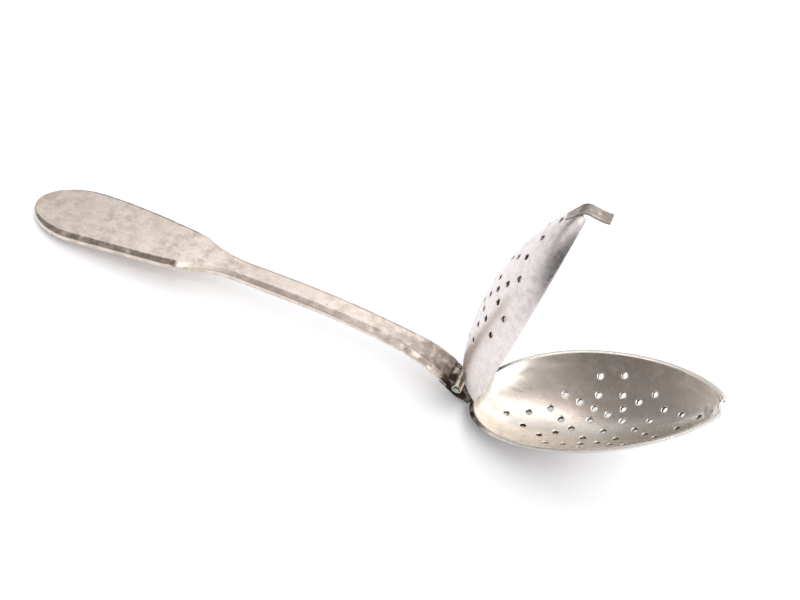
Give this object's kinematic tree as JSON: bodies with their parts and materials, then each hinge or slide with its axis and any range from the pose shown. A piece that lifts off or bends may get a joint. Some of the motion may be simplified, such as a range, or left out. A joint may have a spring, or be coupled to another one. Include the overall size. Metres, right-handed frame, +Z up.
{
  "type": "tea infuser spoon",
  "caption": "Spoon-shaped tea infuser: pierced pointed-oval bowl on a shouldered handle, with a matching pierced domed lid hinged at the heel and a bent thumb catch at the tip.",
  "frame": {"origin": "centre of the bounding box's underside, on the table that the spoon rests on", "axes": "+X from the handle's end to the bowl's tip, +Y along the hinge pin, +Z up; lid open as it stands at rest"},
  "size_m": [0.149, 0.0312, 0.0594],
  "materials": {
    "silver_handle": "worn and tarnished silver, fine scratches and pitting",
    "silver_bowl": "polished silver with yellow tarnish and fine brushing",
    "silver_lid": "polished silver, softly reflecting, lightly tarnished",
    "silver_hinge": "dull silver with dark patina in its joints",
    "pin_metal": "peened pin with grey-green verdigris"
  },
  "bodies": {
    "spoon": {"handle": "silver_handle", "bowl": "silver_bowl", "near_knuckle": "silver_hinge", "far_knuckle": "silver_hinge", "hinge_pin": "pin_metal"},
    "lid": {"lid": "silver_lid", "lid_knuckle": "silver_hinge", "lid_leaf": "silver_hinge", "thumb_catch": "silver_lid"}
  },
  "joints": [
    {"name": "lid_hinge", "type": "hinge", "parent": "spoon", "child": "lid", "pos_m": [0.02495, 0, 0.00529], "axis": [0, 1, 0], "range_deg": [-50, 53.8]}
  ]
}
